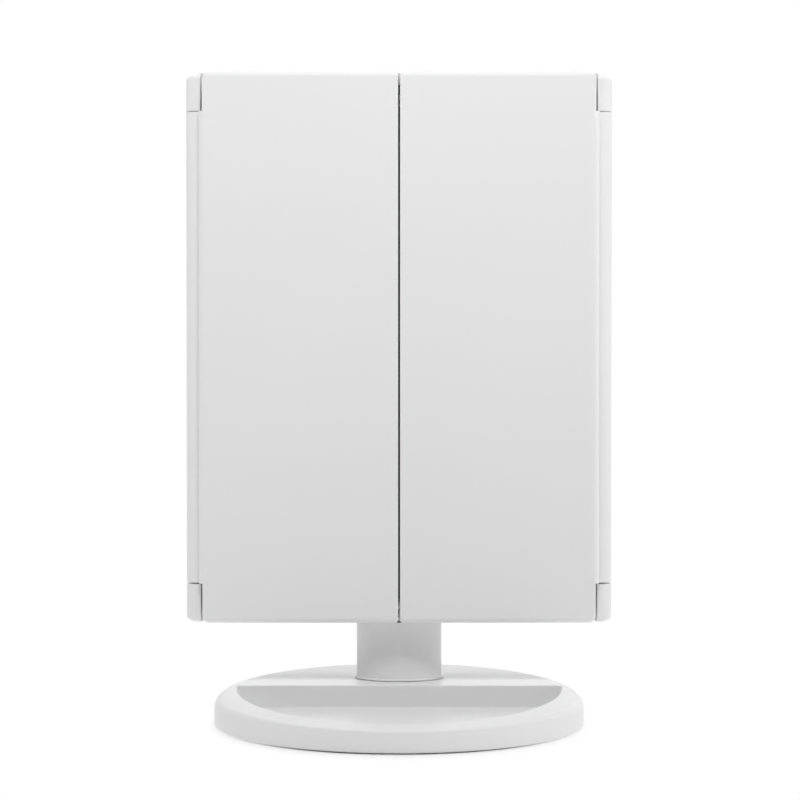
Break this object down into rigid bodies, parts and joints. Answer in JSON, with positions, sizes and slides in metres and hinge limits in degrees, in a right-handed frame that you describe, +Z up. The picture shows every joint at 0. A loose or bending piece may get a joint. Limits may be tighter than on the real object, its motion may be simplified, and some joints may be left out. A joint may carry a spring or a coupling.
{
  "type": "trifold vanity mirror",
  "caption": "Free-standing lit vanity mirror: centre panel with two folding mirror doors, on a tilting neck and an oval tray base.",
  "frame": {"origin": "on the table under the middle of the oval base", "axes": "+Z up, -Y towards the user in front of the closed doors, +X to that user's right"},
  "size_m": [0.18, 0.12, 0.272],
  "materials": {
    "shell": "satin white moulding",
    "inner_plastic": "plain light grey moulding",
    "mirror_glass": "silvered glass",
    "lens": "frosted",
    "steel": "plain",
    "board": "solder mask",
    "chip": "black moulding",
    "emitter": "phosphor",
    "copper": "bare foil",
    "pad": "soft grey",
    "bush": "natural",
    "cell": "printed sleeve, plain",
    "knob": "grey moulding"
  },
  "bodies": {
    "base": {"base_tray": "shell", "base_plate": "inner_plastic", "base_ballast": "steel", "base_feet": "pad", "base_screws": "steel", "neck_core": "shell", "neck_front_shell": "shell", "neck_rear_shell": "shell", "neck_screws": "steel", "neck_foot_screws": "steel", "tilt_shaft": "steel", "tilt_washers": "bush", "tilt_nuts": "steel"},
    "head": {"front_frame": "shell", "rear_cover": "shell", "centre_mirror": "mirror_glass", "led_windows": "lens", "led_board_left": "board", "led_board_right": "board", "led_board_top": "board", "leds": "emitter", "touch_pad": "copper", "control_board": "board", "control_chips": "chip", "usb_board": "board", "usb_socket": "steel", "switch_body": "chip", "battery_box": "inner_plastic", "batteries": "cell", "battery_contacts": "steel", "hinge_pins": "steel", "tilt_brackets": "steel", "bracket_screws": "steel", "cover_screws": "steel", "head_magnets": "steel"},
    "left_door": {"left_door_shell": "shell", "left_door_frame": "shell", "left_upper_mirror": "mirror_glass", "left_lower_mirror": "mirror_glass", "left_door_bushes": "bush", "left_door_magnet": "steel"},
    "right_door": {"right_door_shell": "shell", "right_door_frame": "shell", "right_door_mirror": "mirror_glass", "right_door_bushes": "bush", "right_door_magnet": "steel"},
    "battery_cover": {"battery_cover": "shell"},
    "switch_knob": {"switch_knob": "knob"}
  },
  "joints": [
    {"name": "head_tilt", "type": "hinge", "parent": "base", "child": "head", "pos_m": [0, 0.031, 0.051], "axis": [-1, 0, 0], "range_deg": [-5, 25]},
    {"name": "left_door_hinge", "type": "hinge", "parent": "head", "child": "left_door", "pos_m": [-0.0855, 0.018, 0.156], "axis": [0, 0, -1], "range_deg": [0, 180]},
    {"name": "right_door_hinge", "type": "hinge", "parent": "head", "child": "right_door", "pos_m": [0.0855, 0.018, 0.156], "axis": [0, 0, 1], "range_deg": [0, 180]},
    {"name": "battery_cover_slide", "type": "slide", "parent": "head", "child": "battery_cover", "axis": [0, 1, 0], "range_m": [0, 0.02]},
    {"name": "power_switch_slide", "type": "slide", "parent": "head", "child": "switch_knob", "axis": [1, 0, 0], "range_m": [0, 0.004]}
  ]
}
